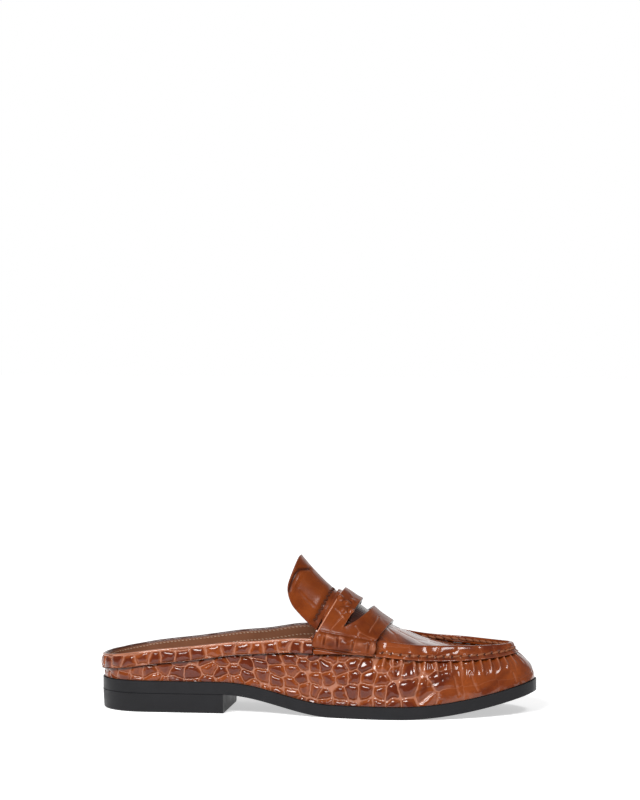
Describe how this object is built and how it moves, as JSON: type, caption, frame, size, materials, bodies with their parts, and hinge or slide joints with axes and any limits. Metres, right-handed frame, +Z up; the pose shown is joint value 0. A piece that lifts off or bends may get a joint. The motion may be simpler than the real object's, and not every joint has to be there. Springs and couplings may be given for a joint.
{
  "type": "loafer mule",
  "caption": "Backless penny loafer mule for a right foot: low wall round the heel, raised moc-toe seam, slotted saddle strap, upstanding tongue and a thin black sole on a low block heel.",
  "frame": {"origin": "centre of the shoe's box in plan, on the plane that its heel and forefoot stand on", "axes": "+X from heel to toe, +Y to the foot's inner side, +Z up"},
  "size_m": [0.2651, 0.0888, 0.0943],
  "materials": {
    "black_sole": "satin black",
    "lining_leather": "smooth matte brown",
    "croc_leather": "glossy cognac, embossed with crocodile scales"
  },
  "bodies": {
    "root": {"outsole": "black_sole", "heel_block": "black_sole", "insole": "lining_leather", "upper": "croc_leather", "collar_band": "croc_leather", "seam_band": "croc_leather", "saddle_strap": "croc_leather", "tongue": "croc_leather"}
  },
  "joints": []
}
